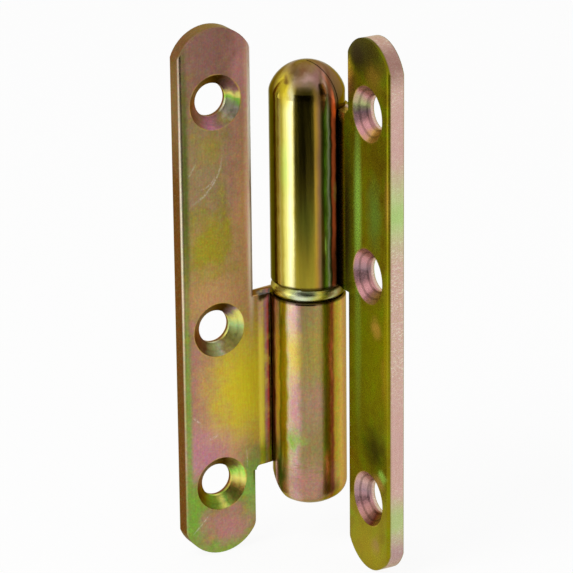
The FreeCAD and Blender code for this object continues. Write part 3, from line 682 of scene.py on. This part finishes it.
# lighter steel on the side towards the camera: a painted highlight
pin_bands = [(0.0, STEEL), (0.5, STEEL_HIGHLIGHT), (1.0, STEEL)]
dress("lower_leaf", leaf_finish("lower", lower_look))
dress("upper_leaf", leaf_finish("upper", upper_look))
dress("ring", turned_finish("ring_zinc", ring_bands, roughness=0.3))
dress("hinge_pin", turned_finish("pin_steel", pin_bands, roughness=0.22))

# camera of the photograph: place round the pin axis, turn in the picture, focal length and offset of
# the centre in pixels
FRAME_PIXELS = 573
CAMERA_AZIMUTH = math.radians(-29.237)
CAMERA_ELEVATION = math.radians(20.330)
CAMERA_ROLL = math.radians(-0.490)
CAMERA_DISTANCE = 720.509 * MM
FOCAL_PIXELS = 3627.76
CENTRE_OFFSET = (21.872, -2.422)
SENSOR_WIDTH = 36.0
NEAREST = 0.01

back = Vector((math.sin(CAMERA_AZIMUTH) * math.cos(CAMERA_ELEVATION),
               -math.cos(CAMERA_AZIMUTH) * math.cos(CAMERA_ELEVATION), math.sin(CAMERA_ELEVATION)))
level = Vector((math.cos(CAMERA_AZIMUTH), math.sin(CAMERA_AZIMUTH), 0))
upright = back.cross(level)
right = level * math.cos(CAMERA_ROLL) + upright * math.sin(CAMERA_ROLL)
up = back.cross(right)
camera_data = bpy.data.cameras.new("photo_camera")
camera_data.sensor_width = SENSOR_WIDTH
camera_data.lens = FOCAL_PIXELS / FRAME_PIXELS * SENSOR_WIDTH
camera_data.shift_x = -CENTRE_OFFSET[0] / FRAME_PIXELS
camera_data.shift_y = CENTRE_OFFSET[1] / FRAME_PIXELS
camera_data.clip_start = NEAREST
camera = bpy.data.objects.new("photo_camera", camera_data)
camera_turn = Matrix((right, up, back)).transposed().to_4x4()
camera.matrix_world = Matrix.Translation(pin_axis + back * CAMERA_DISTANCE) @ camera_turn
bpy.context.scene.collection.objects.link(camera)
bpy.context.scene.camera = camera


def seen_white(tree):
    """1 for a ray from the camera or off metal or glass, which sees the white backdrop."""
    path = tree.nodes.new("ShaderNodeLightPath")
    total = path.outputs["Is Camera Ray"]
    for name in ("Is Glossy Ray", "Is Transmission Ray"):
        either = tree.nodes.new("ShaderNodeMath")
        either.operation = "MAXIMUM"
        tree.links.new(total, either.inputs[0])
        tree.links.new(path.outputs[name], either.inputs[1])
        total = either.outputs[0]
    return total


# white backdrop, dimmer as a light on the floor
BACKDROP_LIGHT = 0.6

world = bpy.data.worlds.new("studio")
bpy.context.scene.world = world
world.use_nodes = True
world_strength = world.node_tree.nodes.new("ShaderNodeMapRange")
world.node_tree.links.new(seen_white(world.node_tree), world_strength.inputs["Value"])
world_strength.inputs["To Min"].default_value = BACKDROP_LIGHT
# found by reflected rays alone, so that the dark card hides it from the metal
world.cycles.sampling_method = "NONE"
backdrop = world.node_tree.nodes["Background"]
backdrop.inputs["Color"].default_value = (1, 1, 1, 1)
world.node_tree.links.new(world_strength.outputs[0], backdrop.inputs["Strength"])

# pale floor under the lowest point, mostly as white as the backdrop but keeping the shadow
FLOOR_SIZE = 6.0
FLOOR_GAP = 0.05 * MM
FLOOR_COLOUR = (0.88, 0.88, 0.87, 1)
FLOOR_ROUGHNESS = 0.9
FLOOR_SHINE = 0.1
FLOOR_WHITE = 0.92

bpy.ops.mesh.primitive_plane_add(size=FLOOR_SIZE, location=(0, 0, cad_box[0].z - FLOOR_GAP))
floor = bpy.context.object
floor.name = "floor"
floor_material = bpy.data.materials.new("pale_floor")
floor_material.use_nodes = True
floor_tree = floor_material.node_tree
floor_shader = floor_tree.nodes["Principled BSDF"]
floor_shader.inputs["Base Color"].default_value = FLOOR_COLOUR
floor_shader.inputs["Roughness"].default_value = FLOOR_ROUGHNESS
floor_shader.inputs["Specular IOR Level"].default_value = FLOOR_SHINE
glow = floor_tree.nodes.new("ShaderNodeEmission")
blend = floor_tree.nodes.new("ShaderNodeMixShader")
share = floor_tree.nodes.new("ShaderNodeMath")
share.operation = "MULTIPLY"
share.inputs[1].default_value = FLOOR_WHITE
floor_tree.links.new(seen_white(floor_tree), share.inputs[0])
floor_tree.links.new(share.outputs[0], blend.inputs[0])
floor_tree.links.new(floor_shader.outputs[0], blend.inputs[1])
floor_tree.links.new(glow.outputs[0], blend.inputs[2])
floor_tree.links.new(blend.outputs[0], floor_tree.nodes["Material Output"].inputs[0])
floor.data.materials.append(floor_material)


def bearing_point(bearing, distance, height):
    """Point round the pin axis, in mm, at a bearing in degrees to the right of the camera's."""
    turn = math.radians(bearing)
    direction = Vector((back.x, back.y, 0)).normalized()
    spot = direction * math.cos(turn) + level * math.sin(turn)
    return pin_axis + spot * distance * MM + Vector((0, 0, height * MM))


def soft_light(name, place, target, width, height, power):
    """Area lamp that the camera doesn't see, its size in mm and its power in watts."""
    data = bpy.data.lights.new(name, "AREA")
    data.shape = "RECTANGLE"
    data.size = width * MM
    data.size_y = height * MM
    data.energy = power
    lamp = bpy.data.objects.new(name, data)
    lamp.location = place
    lamp.rotation_mode = "QUATERNION"
    lamp.rotation_quaternion = (target - place).to_track_quat("-Z", "Y")
    lamp.visible_camera = False
    bpy.context.scene.collection.objects.link(lamp)
    return lamp


# wide lamp from the upper left for the shadow, and a small one that lights the lower neck
STRIP_HEIGHT = -26
key_place = bearing_point(bearing=-50, distance=700, height=800)
key = soft_light("key", key_place, pin_axis, width=500, height=500, power=5.0)
key.visible_glossy = False
strip_place = bearing_point(bearing=-53, distance=160, height=STRIP_HEIGHT)
strip_target = bearing_point(bearing=0, distance=0, height=STRIP_HEIGHT)
soft_light("strip", strip_place, strip_target, width=62, height=56, power=0.0147)


def dark_card(name, bearing, distance, width, top, stops):
    """Upright card on the floor that only the metal shows, as a dark band, its shade given by the
    share of its height."""
    low = cad_box[0].z / MM
    place = bearing_point(bearing, distance, (low + top) / 2)
    bpy.ops.mesh.primitive_plane_add(size=1.0, location=place)
    card = bpy.context.object
    card.name = name
    card.scale = (width * MM, (top - low) * MM, 1)
    card.rotation_mode = "QUATERNION"
    outward = Vector((place.x - pin_axis.x, place.y - pin_axis.y, 0))
    card.rotation_quaternion = outward.to_track_quat("Z", "Y")
    material = bpy.data.materials.new(name)
    material.use_nodes = True
    tree = material.node_tree
    coords = tree.nodes.new("ShaderNodeTexCoord")
    parts = tree.nodes.new("ShaderNodeSeparateXYZ")
    ramp = tree.nodes.new("ShaderNodeValToRGB")
    paper = tree.nodes.new("ShaderNodeEmission")
    while len(ramp.color_ramp.elements) < len(stops):
        ramp.color_ramp.elements.new(1.0)
    for element, (place_up, shade) in zip(ramp.color_ramp.elements, stops):
        element.position = place_up
        element.color = (shade, shade, shade, 1)
    tree.links.new(coords.outputs["Generated"], parts.inputs[0])
    tree.links.new(parts.outputs[1], ramp.inputs[0])
    tree.links.new(ramp.outputs[0], paper.inputs[0])
    tree.links.new(paper.outputs[0], tree.nodes["Material Output"].inputs[0])
    card.data.materials.append(material)
    card.visible_camera = False
    card.visible_diffuse = False
    card.visible_shadow = False


card_shades = [(0.0, 0.4), (0.07, 0.01), (0.58, 0.01), (1.0, 0.7)]
dark_card("front_card", bearing=-9, distance=170, width=195, top=240, stops=card_shades)

bpy.context.scene.view_settings.view_transform = "Standard"
